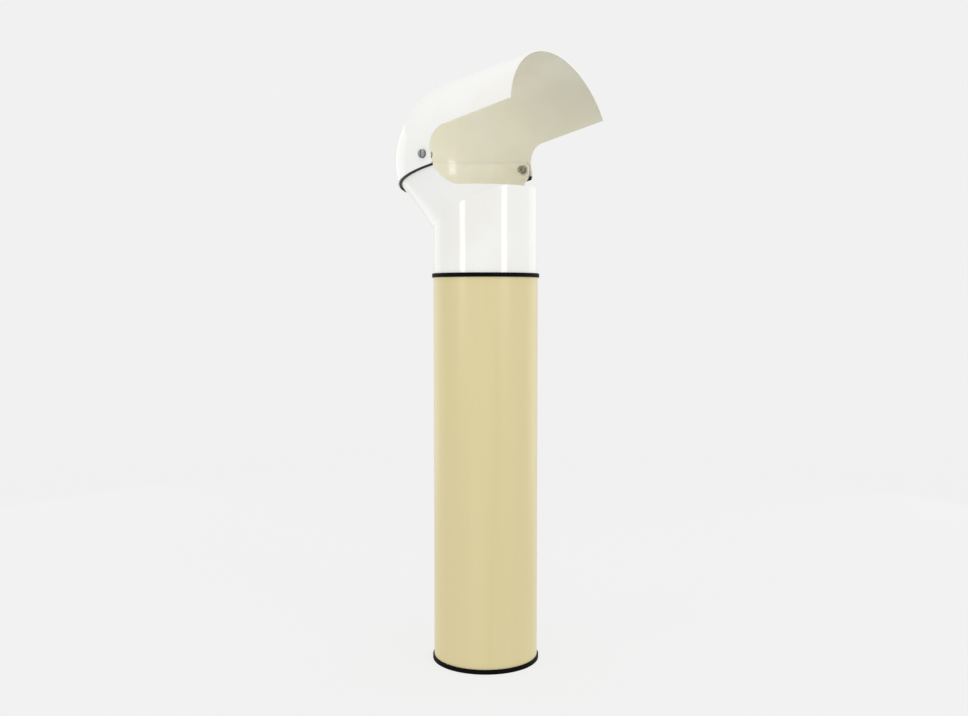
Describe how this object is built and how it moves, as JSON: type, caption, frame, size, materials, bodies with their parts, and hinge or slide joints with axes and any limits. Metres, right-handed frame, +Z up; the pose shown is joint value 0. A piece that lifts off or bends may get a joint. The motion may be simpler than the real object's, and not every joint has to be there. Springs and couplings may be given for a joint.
{
  "type": "floor lamp",
  "caption": "Floor lamp with a round column, a white collar and scoop that turns on it, and a round-backed hood that tilts over the bulb.",
  "frame": {"origin": "centre of the underside of the foot, on the column's axis", "axes": "+Z up the column, -Y is the front that the visor points to, +X across the lamp along the hood's tilting axis"},
  "size_m": [0.3614, 0.3833, 1.2608],
  "materials": {
    "white_shell": "gloss moulded acrylic, white outside and cream inside",
    "column_lacquer": "satin stove lacquer, cream",
    "black_rubber": "moulded rubber",
    "floor_felt": "pressed felt",
    "plated_steel": "zinc plated",
    "cast_iron": "as cast",
    "nylon": "natural nylon",
    "lampholder": "moulded phenolic",
    "ceramic": "glazed steatite",
    "brass": "bright",
    "chrome": "bright",
    "bulb_glass": "frosted"
  },
  "bodies": {
    "column": {"foot_ring": "black_rubber", "floor_felt": "floor_felt", "base_plate": "plated_steel", "ballast_weight": "cast_iron", "ballast_nuts": "plated_steel", "tie_rods": "plated_steel", "tie_rod_nuts": "plated_steel", "column_tube": "column_lacquer", "cable_grommet": "black_rubber", "top_plate": "plated_steel", "top_ring": "black_rubber", "stop_pin": "plated_steel", "swivel_tube": "plated_steel", "bearing_washer": "nylon", "swivel_friction_washer": "nylon", "swivel_nut": "plated_steel"},
    "head": {"head_shell": "white_shell", "swivel_plate": "plated_steel", "swivel_plate_screws": "plated_steel", "lampholder_bracket": "plated_steel", "bracket_screws": "plated_steel", "holder_nipple": "plated_steel", "nipple_nut": "plated_steel", "lampholder_cap": "lampholder", "lampholder_skirt": "lampholder", "lampholder_insert": "ceramic", "centre_contact": "brass", "bulb_cap": "brass", "bulb_glass": "bulb_glass", "inner_washers": "nylon", "pivot_nuts": "plated_steel"},
    "hood": {"hood_shell": "white_shell", "rim_strip": "floor_felt", "pivot_discs": "nylon", "outer_washers": "chrome"},
    "right_screw": {"right_thumbscrew": "chrome"},
    "left_screw": {"left_thumbscrew": "chrome"}
  },
  "joints": [
    {"name": "head_swivel", "type": "hinge", "parent": "column", "child": "head", "pos_m": [0, 0, 0.8253], "axis": [0, 0, 1], "range_deg": [-170, 170]},
    {"name": "hood_tilt", "type": "hinge", "parent": "head", "child": "hood", "pos_m": [0, 0.022, 1.056], "axis": [-1, 0, 0], "range_deg": [-30, 30]},
    {"name": "right_screw_turn", "type": "hinge", "parent": "head", "child": "right_screw", "pos_m": [0.18, 0.022, 1.056], "axis": [1, 0, 0], "range_deg": [0, 180]},
    {"name": "left_screw_turn", "type": "hinge", "parent": "head", "child": "left_screw", "pos_m": [-0.18, 0.022, 1.056], "axis": [-1, 0, 0], "range_deg": [0, 180]}
  ]
}
